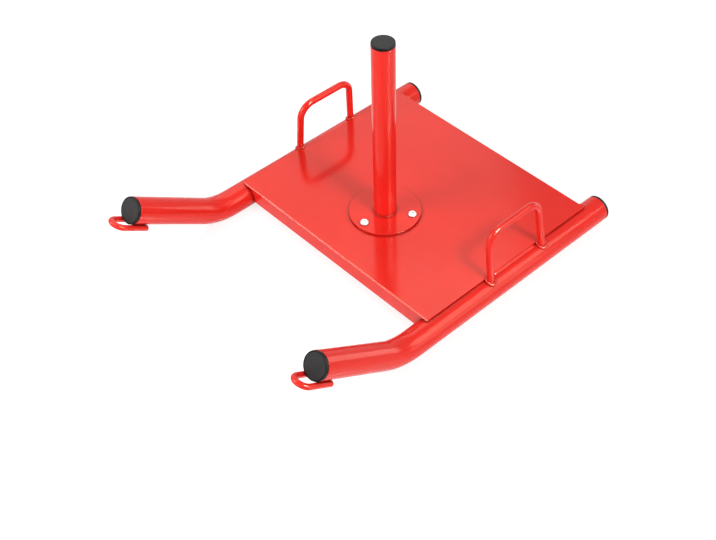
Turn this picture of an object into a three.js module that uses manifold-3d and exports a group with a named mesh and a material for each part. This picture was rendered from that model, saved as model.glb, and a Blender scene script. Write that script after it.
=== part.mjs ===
// Drag sled: two bent tube runners, a sheet deck on three crossbars, a bolted post for weight plates,
// two rod handles and two rod tow loops. Millimetres, +Z up, the front with the tow loops faces -Y.

import * as THREE from 'three';
import { mergeVertices, toCreasedNormals } from 'three/addons/utils/BufferGeometryUtils.js';
import Module from 'manifold-3d';

const wasm = await Module();
wasm.setup();

// Clearances

const seatGap = 0.3;
const boreClearance = 0.5;
const cutOverrun = 2;

// Runners

const runnerDiameter = 60;
const runnerWall = 2.5;
const runnerSpacing = 588;
const runnerRear = 372;
const runnerBendStart = 203;
const runnerBendRadius = 148;
const runnerTipLength = 201;
const runnerTipAngle = THREE.MathUtils.degToRad(33);

// End plugs of the runners and of the post

const plugHeadThickness = 3.6;
const plugCrown = 0.8;
const plugEdgeRadius = 1.4;
const plugStemLength = 20;
const plugStemWall = 2.4;
const plugRibDepth = 1.6;
const plugRibPitch = 8;
const plugRibCount = 2;

// Deck

const deckThickness = 5;
const deckFront = 163;
const deckRear = 324;
const deckCornerRadius = 4;
const deckEdgeBreak = 0.8;

// Crossbars, square tube

const crossbarSize = 40;
const crossbarWall = 2.5;
const crossbarCornerRadius = 4;
const crossbarSetback = 3;
const crossbarEndLip = 2.2;

// Screws, washers and nuts that hold the post

const screwDiameter = 10;
const screwHeadDiameter = 17.5;
const screwHeadHeight = 5.5;
const screwHeadRim = 1.2;
const screwSocketWidth = 6;
const screwSocketDepth = 3.2;
const screwTailChamfer = 1;
const screwTailLength = 3;
const washerDiameter = 20;
const washerThickness = 2;
const washerEdgeSpace = 1;
const nutWidth = 16;
const nutHeight = 8;
const screwCount = 3;

// Post and its flange

const postDiameter = 50;
const postWall = 3;
const postLength = 435;
const flangeThickness = 5;
const flangeMargin = 18;
const flangeEdgeBreak = 0.6;

// Handles

const handleDiameter = 16;
const handleHeight = 125;
const handleFrontFoot = 14;
const handleSpan = 160;
const handleRake = 14;
const handleBendRadius = 34;
const handleLean = THREE.MathUtils.degToRad(6);

// Tow loops

const loopDiameter = 13;
const loopWidth = 38;
const loopReach = 40;
const loopOverlap = 42;

// Weld beads

const postWeldLeg = 5;
const handleWeldLeg = 4;
const deckWeldLeg = 7;
const cornerWeldLeg = 8;
const cornerWeldLength = 16;
const loopWeldLeg = 6;
const loopWeldSetback = 2;
const weldEndTaper = 1;
const weldCrownShare = 0.25;

// Facets round each kind of circle, and steps through each kind of bend

const tubeSides = 32;
const plugSides = 24;
const rodSides = 12;
const smallSides = 16;
const hexSides = 6;
const flangeSides = 40;
const runnerBendSteps = 10;
const rodBendSteps = 8;
const beadSteps = 4;
const cornerSteps = 3;
const plugEdgeSteps = 2;

// Sizes that follow

const runnerRadius = runnerDiameter / 2;
const deckWidth = runnerSpacing;
const deckUnderside = runnerRadius + seatGap;
const deckTop = deckUnderside + deckThickness;
const flangeTop = deckTop + seatGap + flangeThickness;
const screwSeat = flangeTop + seatGap;
const washerSeat = deckUnderside - seatGap - washerThickness;
const nutSeat = washerSeat - seatGap - nutHeight;
const postRadius = postDiameter / 2;
const screwFirstAngle = -Math.PI / 2;
const screwPitch = 2 * Math.PI / screwCount;
const screwCircleRadius =
  (crossbarSize / 2 + washerEdgeSpace + washerDiameter / 2) / Math.sin(screwFirstAngle + screwPitch);
const flangeRadius = screwCircleRadius + flangeMargin;
const screwHoleRadius = (screwDiameter + boreClearance) / 2;
const handleRadius = handleDiameter / 2;
const handleFootSetOut = seatGap + handleRadius / Math.cos(handleLean) + deckTop * Math.tan(handleLean);
const loopRadius = loopDiameter / 2;
const loopOffset = Math.sqrt((runnerRadius + seatGap + loopRadius) ** 2 - (loopWidth / 2) ** 2);

// Paints and finishes

const redPaint = new THREE.MeshStandardMaterial({ color: '#df2b26', roughness: 0.28, metalness: 0 });
const blackPlastic = new THREE.MeshStandardMaterial({ color: '#2e2f30', roughness: 0.5, metalness: 0 });
const zincSteel = new THREE.MeshStandardMaterial({ color: '#e4e4e0', roughness: 0.25, metalness: 1 });

// Closed solids

function closedMesh(geometry) {
  const bare = geometry.clone();
  bare.deleteAttribute('normal');
  bare.deleteAttribute('uv');
  const merged = mergeVertices(bare);
  const index = Array.from(merged.index.array);
  const triangles = [];
  for (let i = 0; i < index.length; i += 3) {
    const [a, b, c] = index.slice(i, i + 3);
    if (a !== b && b !== c && c !== a) triangles.push(a, b, c);
  }
  merged.setIndex(triangles);
  return merged;
}

function solidOf(geometry) {
  const closed = closedMesh(geometry);
  return new wasm.Manifold(new wasm.Mesh({
    numProp: 3,
    vertProperties: closed.attributes.position.array,
    triVerts: Uint32Array.from(closed.index.array),
  }));
}

function geometryOf(solid) {
  const mesh = solid.getMesh();
  const geometry = new THREE.BufferGeometry();
  geometry.setAttribute('position', new THREE.BufferAttribute(mesh.vertProperties, 3));
  geometry.setIndex(new THREE.BufferAttribute(mesh.triVerts, 1));
  return geometry;
}

function cut(geometry, ...tools) {
  return geometryOf(tools.reduce((solid, tool) => solid.subtract(solidOf(tool)), solidOf(geometry)));
}

function keep(geometry, tool) {
  return geometryOf(solidOf(geometry).intersect(solidOf(tool)));
}

function piece(name, geometry, material) {
  const mesh = new THREE.Mesh(toCreasedNormals(closedMesh(geometry), Math.PI / 6), material);
  mesh.name = name;
  return mesh;
}

// Sections and outlines

function ringPoints(radius, sides) {
  const points = [];
  for (let i = 0; i < sides; i++) {
    const angle = (i + 1 / 2) * 2 * Math.PI / sides;
    points.push(new THREE.Vector2(radius * Math.cos(angle), radius * Math.sin(angle)));
  }
  return points;
}

// Radius of the corners of a polygon whose flats lie at the given radius
function overFlats(radius, sides) {
  return radius / Math.cos(Math.PI / sides);
}

function ringShape(radius, sides, boreRadius = 0) {
  const shape = new THREE.Shape(ringPoints(radius, sides));
  if (boreRadius > 0) shape.holes.push(new THREE.Path(ringPoints(boreRadius, sides)));
  return shape;
}

function roundedSquarePoints(size, cornerRadius) {
  const points = [];
  const reach = size / 2 - cornerRadius;
  for (let corner = 0; corner < 4; corner++) {
    const start = corner * Math.PI / 2;
    const centre = new THREE.Vector2(reach, reach).rotateAround(new THREE.Vector2(), start);
    for (let i = 0; i <= cornerSteps; i++) {
      const angle = start + i / cornerSteps * Math.PI / 2;
      points.push(new THREE.Vector2(
        centre.x + cornerRadius * Math.cos(angle), centre.y + cornerRadius * Math.sin(angle)));
    }
  }
  return points;
}

function roundedPlate(xMin, xMax, yMin, yMax, cornerRadius) {
  const shape = new THREE.Shape();
  shape.moveTo(xMin + cornerRadius, yMin);
  shape.lineTo(xMax - cornerRadius, yMin);
  shape.absarc(xMax - cornerRadius, yMin + cornerRadius, cornerRadius, -Math.PI / 2, 0);
  shape.lineTo(xMax, yMax - cornerRadius);
  shape.absarc(xMax - cornerRadius, yMax - cornerRadius, cornerRadius, 0, Math.PI / 2);
  shape.lineTo(xMin + cornerRadius, yMax);
  shape.absarc(xMin + cornerRadius, yMax - cornerRadius, cornerRadius, Math.PI / 2, Math.PI);
  shape.lineTo(xMin, yMin + cornerRadius);
  shape.absarc(xMin + cornerRadius, yMin + cornerRadius, cornerRadius, Math.PI, 3 * Math.PI / 2);
  return shape;
}

// Solids along a line

function prism(shape, length) {
  return new THREE.ExtrudeGeometry(shape, { depth: length, bevelEnabled: false });
}

// A plate whose upper and lower edges are broken by a small bevel
function brokenPlate(shape, thickness, edgeBreak) {
  return new THREE.ExtrudeGeometry(shape, {
    depth: thickness - 2 * edgeBreak,
    bevelEnabled: true,
    bevelThickness: edgeBreak,
    bevelSize: edgeBreak,
    bevelOffset: -edgeBreak,
    bevelSegments: 1,
    curveSegments: cornerSteps,
  }).translate(0, 0, edgeBreak);
}

// A centre line of straight runs joined by arcs, with stations only where the rod or tube turns
class BentLine extends THREE.Curve {
  constructor(corners, bendRadius, bendSteps) {
    super();
    this.stations = [];
    const headings = corners.slice(1).map((corner, i) => corner.clone().sub(corners[i]).normalize());
    this.pass(corners[0], headings[0]);
    for (let i = 1; i < headings.length; i++) {
      this.turn(corners[i], headings[i - 1], headings[i], bendRadius, bendSteps);
    }
    this.pass(corners[corners.length - 1], headings[headings.length - 1]);
  }

  turn(corner, into, out, radius, steps) {
    const angle = into.angleTo(out);
    const start = corner.clone().addScaledVector(into, -radius * Math.tan(angle / 2));
    const inward = out.clone().addScaledVector(into, -Math.cos(angle)).normalize();
    const centre = start.clone().addScaledVector(inward, radius);
    for (let i = 0; i <= steps; i++) {
      const turned = angle * i / steps;
      const point = centre.clone()
        .addScaledVector(inward, -radius * Math.cos(turned))
        .addScaledVector(into, radius * Math.sin(turned));
      const heading = into.clone()
        .multiplyScalar(Math.cos(turned))
        .addScaledVector(inward, Math.sin(turned));
      this.pass(point, heading, radius);
    }
  }

  // A station on top of the one before it, where one arc runs straight into the next, is left out
  pass(point, heading, radius = 0) {
    const nearShare = 0.001;
    const last = this.stations[this.stations.length - 1];
    if (last && last.point.distanceTo(point) <= radius * nearShare) return;
    this.stations.push({ point: point.clone(), heading: heading.clone() });
  }

  station(t) {
    return this.stations[Math.round(t * (this.stations.length - 1))];
  }

  getPoint(t, target = new THREE.Vector3()) {
    return target.copy(this.station(t).point);
  }

  getPointAt(t, target) {
    return this.getPoint(t, target);
  }

  getTangent(t, target = new THREE.Vector3()) {
    return target.copy(this.station(t).heading);
  }

  getTangentAt(t, target) {
    return this.getTangent(t, target);
  }
}

function bentBar(shape, line) {
  return new THREE.ExtrudeGeometry(shape, { steps: line.stations.length - 1, extrudePath: line });
}

// A solid cylinder along Y that stands for a runner grown by the seat gap, to cut what is fitted to it
function runnerEnvelope(length) {
  const radius = overFlats(runnerRadius + seatGap, tubeSides);
  return prism(ringShape(radius, tubeSides), length).rotateX(Math.PI / 2).translate(0, length / 2, 0);
}

// Section of a weld bead: its root, its two toes, and between them a crest that swells away from the root
function beadPoints(root, firstToe, secondToe) {
  const crest = firstToe.clone().lerp(secondToe, 1 / 2);
  crest.addScaledVector(crest.clone().sub(root), weldCrownShare);
  return [root, firstToe, crest, secondToe];
}

// A straight bead with tapered ends, whose section lies in X and Z, from Y = 0 back to Y = length
function straightBead(points, length) {
  return brokenPlate(new THREE.Shape(points), length, weldEndTaper)
    .rotateX(Math.PI / 2).translate(0, length, 0);
}

// Runners and their plugs

const tipDirection = new THREE.Vector3(0, -Math.cos(runnerTipAngle), Math.sin(runnerTipAngle));
const runnerBendSetback = runnerBendRadius * Math.tan(runnerTipAngle / 2);
const runnerBendCorner = new THREE.Vector3(0, -runnerBendStart - runnerBendSetback, 0);
const runnerTip = runnerBendCorner.clone().addScaledVector(tipDirection, runnerBendSetback + runnerTipLength);

function runnerGeometry() {
  const section = ringShape(
    overFlats(runnerRadius, tubeSides), tubeSides, overFlats(runnerRadius - runnerWall, tubeSides));
  const line = new BentLine(
    [new THREE.Vector3(0, runnerRear, 0), runnerBendCorner, runnerTip], runnerBendRadius, runnerBendSteps);
  return bentBar(section, line);
}

// A cup shaped plug for a tube's end: a crowned head with a rounded edge, and a ribbed stem inside the tube
function plugGeometry(tubeRadius, tubeWall) {
  const ribRadius = tubeRadius - tubeWall - seatGap;
  const stemRadius = ribRadius - plugRibDepth;
  const ribHeight = plugRibPitch / 2;
  const crownEdge = tubeRadius - plugEdgeRadius;
  const crownShare = 0.75;
  const profile = [
    new THREE.Vector2(0, plugHeadThickness + plugCrown),
    new THREE.Vector2(crownEdge / 2, plugHeadThickness + plugCrown * crownShare),
  ];
  for (let i = 0; i <= plugEdgeSteps; i++) {
    const angle = Math.PI / 2 * (1 - i / plugEdgeSteps);
    profile.push(new THREE.Vector2(
      crownEdge + plugEdgeRadius * Math.cos(angle),
      plugHeadThickness - plugEdgeRadius + plugEdgeRadius * Math.sin(angle)));
  }
  profile.push(new THREE.Vector2(tubeRadius, 0), new THREE.Vector2(stemRadius, 0));
  for (let i = 0; i < plugRibCount; i++) {
    const top = -ribHeight / 2 - i * plugRibPitch;
    profile.push(new THREE.Vector2(stemRadius, top));
    profile.push(new THREE.Vector2(ribRadius, top));
    profile.push(new THREE.Vector2(stemRadius, top - ribHeight));
  }
  profile.push(new THREE.Vector2(stemRadius, -plugStemLength));
  profile.push(new THREE.Vector2(stemRadius - plugStemWall, -plugStemLength));
  profile.push(new THREE.Vector2(stemRadius - plugStemWall, 0));
  profile.push(new THREE.Vector2(0, 0));
  return new THREE.LatheGeometry(profile.reverse(), plugSides).rotateX(Math.PI / 2);
}

// Deck, crossbars and flange

function screwPlaces() {
  return Array.from({ length: screwCount }, (_, i) => new THREE.Vector2(screwCircleRadius, 0)
    .rotateAround(new THREE.Vector2(), screwFirstAngle + i * screwPitch));
}

function withScrewHoles(shape) {
  for (const place of screwPlaces()) {
    const hole = ringPoints(screwHoleRadius, smallSides).map((point) => point.add(place));
    shape.holes.push(new THREE.Path(hole));
  }
  return shape;
}

function deckGeometry() {
  const outline = roundedPlate(-deckWidth / 2, deckWidth / 2, -deckFront, deckRear, deckCornerRadius);
  return brokenPlate(withScrewHoles(outline), deckThickness, deckEdgeBreak);
}

function flangeGeometry() {
  return brokenPlate(withScrewHoles(ringShape(flangeRadius, flangeSides)), flangeThickness, flangeEdgeBreak);
}

// A square tube along X whose ends are cut round to the runners, without a thin edge at top and bottom
function crossbarGeometry() {
  const shape = new THREE.Shape(roundedSquarePoints(crossbarSize, crossbarCornerRadius));
  const inside = roundedSquarePoints(crossbarSize - 2 * crossbarWall, crossbarCornerRadius - crossbarWall);
  shape.holes.push(new THREE.Path(inside));
  const trim = Math.sqrt((runnerRadius + seatGap) ** 2 - (runnerRadius - crossbarEndLip) ** 2);
  const length = runnerSpacing - 2 * trim;
  const alongX = new THREE.Matrix4().makeBasis(
    new THREE.Vector3(0, 1, 0), new THREE.Vector3(0, 0, 1), new THREE.Vector3(1, 0, 0));
  const bar = prism(shape, length).applyMatrix4(alongX);
  bar.translate(-length / 2, 0, runnerRadius - crossbarSize / 2);
  const ends = [-1, 1].map((side) => runnerEnvelope(crossbarSize + 2 * cutOverrun)
    .translate(side * runnerSpacing / 2, 0, 0));
  return cut(bar, ...ends);
}

// Post

function postGeometry() {
  return prism(ringShape(postRadius, tubeSides, postRadius - postWall), postLength);
}

function postWeldGeometry() {
  const root = new THREE.Vector2(overFlats(postRadius + seatGap, tubeSides), 0);
  const outerToe = new THREE.Vector2(root.x + postWeldLeg, 0);
  const upperToe = new THREE.Vector2(root.x, postWeldLeg);
  const profile = [...beadPoints(root, outerToe, upperToe), root];
  return new THREE.LatheGeometry(profile, tubeSides).rotateX(Math.PI / 2);
}

// Screws, washers and nuts

function screwGeometry() {
  const radius = screwDiameter / 2;
  const headRadius = screwHeadDiameter / 2;
  const tail = screwSeat - nutSeat + screwTailLength;
  const faceRadius = screwSocketWidth;
  const profile = [new THREE.Vector2(0, screwHeadHeight), new THREE.Vector2(faceRadius, screwHeadHeight)];
  for (let i = 1; i <= cornerSteps; i++) {
    const angle = Math.PI / 2 * i / cornerSteps;
    profile.push(new THREE.Vector2(
      faceRadius + (headRadius - faceRadius) * Math.sin(angle),
      screwHeadRim + (screwHeadHeight - screwHeadRim) * Math.cos(angle)));
  }
  profile.push(new THREE.Vector2(headRadius, 0), new THREE.Vector2(radius, 0));
  profile.push(new THREE.Vector2(radius, screwTailChamfer - tail));
  profile.push(new THREE.Vector2(radius - screwTailChamfer, -tail), new THREE.Vector2(0, -tail));
  const body = new THREE.LatheGeometry(profile.reverse(), smallSides).rotateX(Math.PI / 2);
  const hexagon = ringShape(overFlats(screwSocketWidth / 2, hexSides), hexSides);
  const socket = prism(hexagon, screwSocketDepth + cutOverrun)
    .translate(0, 0, screwHeadHeight - screwSocketDepth);
  return cut(body, socket);
}

function washerGeometry() {
  return prism(ringShape(washerDiameter / 2, smallSides, screwHoleRadius), washerThickness);
}

// A hexagon nut, its corners turned down at both faces
function nutGeometry() {
  const cornerRadius = overFlats(nutWidth / 2, hexSides);
  const shape = ringShape(cornerRadius, hexSides);
  shape.holes.push(new THREE.Path(ringPoints(screwHoleRadius, smallSides)));
  const turnedDown = cornerRadius - nutWidth / 2;
  const profile = [
    new THREE.Vector2(0, 0),
    new THREE.Vector2(nutWidth / 2, 0),
    new THREE.Vector2(cornerRadius, turnedDown),
    new THREE.Vector2(cornerRadius, nutHeight - turnedDown),
    new THREE.Vector2(nutWidth / 2, nutHeight),
    new THREE.Vector2(0, nutHeight),
  ];
  return keep(prism(shape, nutHeight), new THREE.LatheGeometry(profile, plugSides).rotateX(Math.PI / 2));
}

// Handles, in the frame of their runner's centre line

function handlePoint(side, y, z) {
  return new THREE.Vector3(side * (handleFootSetOut - z * Math.tan(handleLean)), y, z);
}

function handleCorners(side) {
  const root = runnerRadius / 2;
  const top = deckTop + handleHeight - handleRadius;
  const rearFoot = handleFrontFoot + handleSpan;
  return [
    handlePoint(side, handleFrontFoot, root),
    handlePoint(side, handleFrontFoot, top),
    handlePoint(side, rearFoot - handleRake, top),
    handlePoint(side, rearFoot, root),
  ];
}

function handleGeometry(side) {
  const line = new BentLine(handleCorners(side), handleBendRadius, rodBendSteps);
  const envelope = runnerEnvelope(handleSpan + 2 * (handleDiameter + cutOverrun));
  envelope.translate(0, handleFrontFoot + handleSpan / 2, 0);
  return cut(bentBar(ringShape(handleRadius, rodSides), line), envelope);
}

// A collar of weld round a handle's leg, sheared along it so that it steps from the deck down to the runner
function handleWeldGeometry(side, foot, top) {
  const outerX = seatGap + handleDiameter / Math.cos(handleLean);
  const outerZ = Math.sqrt(runnerRadius ** 2 - outerX ** 2);
  const fall = (deckTop - outerZ) / (outerX - seatGap);
  const turn = new THREE.Quaternion()
    .setFromUnitVectors(new THREE.Vector3(0, 0, 1), top.clone().sub(foot).normalize());
  const facing = new THREE.Vector3(side * fall, 0, 1).applyQuaternion(turn.clone().invert());
  const shear = new THREE.Matrix4()
    .makeShear(0, -facing.x / facing.z, 0, -facing.y / facing.z, 0, 0);
  const height = (deckTop + outerZ) / 2;
  const centre = foot.clone().lerp(top, (height - foot.z) / (top.z - foot.z));
  const section = [];
  for (let i = 0; i <= beadSteps; i++) {
    const angle = (i / beadSteps - 1 / 2) * Math.PI;
    section.push(new THREE.Vector2(
      handleRadius + handleWeldLeg * Math.cos(angle), handleWeldLeg * Math.sin(angle)));
  }
  const collar = new THREE.LatheGeometry([...section, section[0]], rodSides).rotateX(Math.PI / 2);
  collar.applyMatrix4(shear).applyQuaternion(turn).translate(centre.x, centre.y, centre.z);

  const reach = handleRadius + handleWeldLeg + cutOverrun;
  const blockHeight = deckTop + seatGap;
  const deckBlock = new THREE.BoxGeometry(reach, 2 * reach, blockHeight);
  deckBlock.translate(side * (seatGap - reach / 2), centre.y, blockHeight / 2);
  const rootBlock = new THREE.BoxGeometry(handleFootSetOut, handleRadius, blockHeight);
  rootBlock.translate(side * handleFootSetOut / 2, centre.y, blockHeight / 2);
  const legSection = ringShape(overFlats(handleRadius + seatGap, rodSides), rodSides);
  const leg = bentBar(legSection, new BentLine([foot, top]));
  const envelope = runnerEnvelope(2 * reach).translate(0, centre.y, 0);
  return cut(collar, leg, envelope, deckBlock, rootBlock);
}

// The bead between the deck's edge and the runner, from one foot of the handle to the other
function deckWeldGeometry(side) {
  const toeX = seatGap + deckWeldLeg;
  const points = beadPoints(
    new THREE.Vector2(side * seatGap, runnerRadius),
    new THREE.Vector2(side * seatGap, deckTop - deckEdgeBreak),
    new THREE.Vector2(side * toeX, Math.sqrt(runnerRadius ** 2 - toeX ** 2)));
  const margin = handleRadius + handleWeldLeg + cutOverrun;
  const start = handleFrontFoot + margin;
  const length = handleSpan - 2 * margin;
  const envelope = runnerEnvelope(length + 2 * cutOverrun).translate(0, start + length / 2, 0);
  return cut(straightBead(points, length).translate(0, start, 0), envelope);
}

// The bead that fills the corner between the deck's rear edge and the inner flank of the runner
function cornerWeldGeometry(side) {
  const outerX = deckCornerRadius / 2;
  const innerX = outerX + cornerWeldLength;
  const lowZ = Math.sqrt(runnerRadius ** 2 - innerX ** 2);
  const rearFace = deckRear + seatGap;
  const bead = straightBead(beadPoints(
    new THREE.Vector2(rearFace, lowZ),
    new THREE.Vector2(rearFace + cornerWeldLeg, lowZ),
    new THREE.Vector2(rearFace, deckTop - deckEdgeBreak)), cornerWeldLength);
  bead.rotateZ(Math.PI / 2).translate(side > 0 ? -outerX : innerX, 0, 0);
  const envelope = runnerEnvelope(2 * (cornerWeldLeg + cutOverrun)).translate(0, rearFace, 0);
  return cut(bead, envelope);
}

// Tow loops, in the frame of their runner's tip, whose -Y runs out along the tip

function loopGeometry() {
  const line = new BentLine([
    new THREE.Vector3(loopWidth / 2, loopOverlap, -loopOffset),
    new THREE.Vector3(loopWidth / 2, -loopReach, -loopOffset),
    new THREE.Vector3(-loopWidth / 2, -loopReach, -loopOffset),
    new THREE.Vector3(-loopWidth / 2, loopOverlap, -loopOffset),
  ], loopWidth / 2, rodBendSteps);
  return bentBar(ringShape(loopRadius, rodSides), line);
}

// The bead along the inner side of one branch, between the rod and the underside of the tip
function loopWeldGeometry(branch) {
  const origin = new THREE.Vector2();
  const rod = new THREE.Vector2(branch * loopWidth / 2, -loopOffset);
  const contact = rod.clone().normalize();
  const tubeToe = contact.clone().multiplyScalar(runnerRadius)
    .rotateAround(origin, -branch * loopWeldLeg / runnerRadius);
  const rodToe = contact.clone().multiplyScalar(-loopRadius)
    .rotateAround(origin, branch * loopWeldLeg / loopRadius).add(rod);
  const root = contact.clone().multiplyScalar(runnerRadius);
  const length = loopOverlap - 2 * loopWeldSetback;
  const bead = straightBead(beadPoints(root, tubeToe, rodToe), length).translate(0, loopWeldSetback, 0);
  const rodSection = ringShape(overFlats(loopRadius + seatGap, rodSides), rodSides);
  const branchRod = prism(rodSection, loopOverlap).rotateX(Math.PI / 2).translate(rod.x, loopOverlap, rod.y);
  return cut(bead, branchRod, runnerEnvelope(2 * loopOverlap));
}

// Assembly

const sled = new THREE.Group();
sled.name = 'drag_sled';

for (const [name, side] of [['left', -1], ['right', 1]]) {
  const runnerFrame = new THREE.Group();
  runnerFrame.position.x = side * runnerSpacing / 2;
  runnerFrame.add(piece(`${name}_runner`, runnerGeometry(), redPaint));
  runnerFrame.add(piece(`${name}_handle`, handleGeometry(side), redPaint));
  const [frontFoot, frontTop, rearTop, rearFoot] = handleCorners(side);
  const frontCollar = handleWeldGeometry(side, frontFoot, frontTop);
  const rearCollar = handleWeldGeometry(side, rearFoot, rearTop);
  runnerFrame.add(piece(`${name}_handle_front_weld`, frontCollar, redPaint));
  runnerFrame.add(piece(`${name}_handle_rear_weld`, rearCollar, redPaint));
  runnerFrame.add(piece(`${name}_deck_weld`, deckWeldGeometry(side), redPaint));
  runnerFrame.add(piece(`${name}_corner_weld`, cornerWeldGeometry(side), redPaint));

  const rearPlug = piece(`${name}_rear_cap`, plugGeometry(runnerRadius, runnerWall), blackPlastic);
  rearPlug.rotation.x = -Math.PI / 2;
  rearPlug.position.y = runnerRear + seatGap;
  runnerFrame.add(rearPlug);

  const tipFrame = new THREE.Group();
  tipFrame.position.copy(runnerTip);
  tipFrame.rotation.x = -runnerTipAngle;
  const frontPlug = piece(`${name}_front_cap`, plugGeometry(runnerRadius, runnerWall), blackPlastic);
  frontPlug.rotation.x = Math.PI / 2;
  frontPlug.position.y = -seatGap;
  tipFrame.add(frontPlug, piece(`${name}_tow_loop`, loopGeometry(), redPaint));
  tipFrame.add(piece(`${name}_loop_weld_1`, loopWeldGeometry(-1), redPaint));
  tipFrame.add(piece(`${name}_loop_weld_2`, loopWeldGeometry(1), redPaint));
  runnerFrame.add(tipFrame);
  sled.add(runnerFrame);
}

const deck = piece('deck_plate', deckGeometry(), redPaint);
deck.position.z = deckUnderside;
sled.add(deck);

const crossbarReach = crossbarSetback + crossbarSize / 2;
const crossbars = [['front', crossbarReach - deckFront], ['mid', 0], ['rear', deckRear - crossbarReach]];
for (const [name, y] of crossbars) {
  const bar = piece(`${name}_crossbar`, crossbarGeometry(), redPaint);
  bar.position.y = y;
  sled.add(bar);
}

const flange = piece('post_flange', flangeGeometry(), redPaint);
flange.position.z = deckTop + seatGap;
const post = piece('post_tube', postGeometry(), redPaint);
post.position.z = flangeTop + seatGap;
const postWeld = piece('post_weld', postWeldGeometry(), redPaint);
postWeld.position.z = flangeTop + seatGap;
const postPlug = piece('post_cap', plugGeometry(postRadius, postWall), blackPlastic);
postPlug.position.z = post.position.z + postLength + seatGap;
sled.add(flange, post, postWeld, postPlug);

// Three alike of each fastener, as a group of their own
const fasteners = [
  ['flange_bolt', screwGeometry(), screwSeat],
  ['flange_washer', washerGeometry(), washerSeat],
  ['flange_nut', nutGeometry(), nutSeat],
];
for (const [name, geometry, z] of fasteners) {
  const set = new THREE.Group();
  set.name = `${name}s`;
  set.position.z = z;
  screwPlaces().forEach((place, i) => {
    const copy = piece(`${name}_${i + 1}`, geometry, zincSteel);
    copy.position.set(place.x, place.y, 0);
    set.add(copy);
  });
  sled.add(set);
}

// The sled stands on the floor with the origin under the middle of its box
const box = new THREE.Box3().setFromObject(sled, true);
const middle = box.getCenter(new THREE.Vector3());
sled.position.set(-middle.x, -middle.y, -box.min.z);

const part = new THREE.Group();
part.add(sled);

export default part;
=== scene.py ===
"""Drag sled: smooth painted steel pieces, plastic plugs and plated screws around the fixed frame.

Metres, +Z up, the front with the tow loops faces -Y.
"""

import math
from math import radians

import bmesh
import bpy
from bpy.props import FloatProperty, FloatVectorProperty, IntProperty, PointerProperty
from mathutils import Matrix, Quaternion, Vector


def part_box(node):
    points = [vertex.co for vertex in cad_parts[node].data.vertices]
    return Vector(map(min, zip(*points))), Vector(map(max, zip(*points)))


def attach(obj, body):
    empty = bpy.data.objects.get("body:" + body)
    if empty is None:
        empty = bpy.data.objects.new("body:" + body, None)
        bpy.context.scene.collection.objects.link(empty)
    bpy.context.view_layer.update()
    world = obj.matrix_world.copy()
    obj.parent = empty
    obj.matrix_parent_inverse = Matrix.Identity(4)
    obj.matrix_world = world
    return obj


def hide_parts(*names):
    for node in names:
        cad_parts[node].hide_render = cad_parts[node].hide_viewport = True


bl_info = {
    "name": "Drag sled",
    "version": (1, 0, 0),
    "blender": (4, 5, 0),
    "location": "3D View > Sidebar > Sled",
    "description": "Models a drag sled with runners, deck, post, handles and tow loops",
    "category": "Add Mesh",
}

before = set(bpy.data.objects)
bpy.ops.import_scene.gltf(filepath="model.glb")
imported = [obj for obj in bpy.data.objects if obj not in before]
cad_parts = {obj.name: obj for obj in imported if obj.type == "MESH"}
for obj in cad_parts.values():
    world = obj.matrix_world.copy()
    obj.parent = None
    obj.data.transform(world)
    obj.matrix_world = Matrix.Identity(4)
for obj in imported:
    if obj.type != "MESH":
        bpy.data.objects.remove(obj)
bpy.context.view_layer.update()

BODY = "root"
PAINT, PLASTIC, ZINC = "red_paint", "black_plastic", "zinc_steel"
POLISHED = "polished_plastic"
UP = Vector((0, 0, 1))
ALONG_X = Vector((1, 0, 0))
ALONG_Y = Vector((0, 1, 0))
SIDES = ("right", "left")

# The first gap is left where a piece sits on another, the second round beads and in nuts
SEAT_GAP = 0.0003
SNUG_GAP = SEAT_GAP / 4
FLOOR_GAP = 0.0001
MERGE_DISTANCE = 0.000002
TOOL_MARGIN = 0.05
TOOL_SIDES = 96
SMOOTH_ANGLE = radians(35)


# Settings


def kind_of(make=FloatProperty, **limits):
    """A short way to write settings of one kind."""

    def setting(name, description, default):
        return make(name=name, description=description, default=default, **limits)

    return setting


length = kind_of(min=0.0, unit="LENGTH", subtype="DISTANCE", precision=4)
angle = kind_of(unit="ROTATION", subtype="ANGLE")
lens = kind_of(unit="CAMERA")
share = kind_of(min=0.0, subtype="FACTOR")
level = kind_of(min=0.0)
count = kind_of(IntProperty, min=1)
colour = kind_of(FloatVectorProperty, size=3, min=0.0, max=1.0, subtype="COLOR")


class RunnerSettings(bpy.types.PropertyGroup):
    """Bent round tubes that slide over the ground"""

    diameter: length("Diameter", "Outside diameter of the tube", 0.06)
    wall: length("Wall", "Wall thickness of the tube", 0.0025)
    spacing: length("Spacing", "Distance between the two tubes' centre lines", 0.588)
    bend_start: length("Bend start", "From the post's axis forward to the bend", 0.203)
    bend_radius: length("Bend radius", "Radius of the bend's centre line", 0.148)
    tip_angle: angle("Tip angle", "How steeply the tip rises", radians(33))
    tip_length: length("Tip length", "Straight length after the bend", 0.1995)
    edge_break: length("Edge break", "Rounding of the sawn ends", 0.001)
    sides: count("Sides", "Faces round the tube", 96)
    bend_steps: count("Bend steps", "Rings through the bend", 28)


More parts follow.
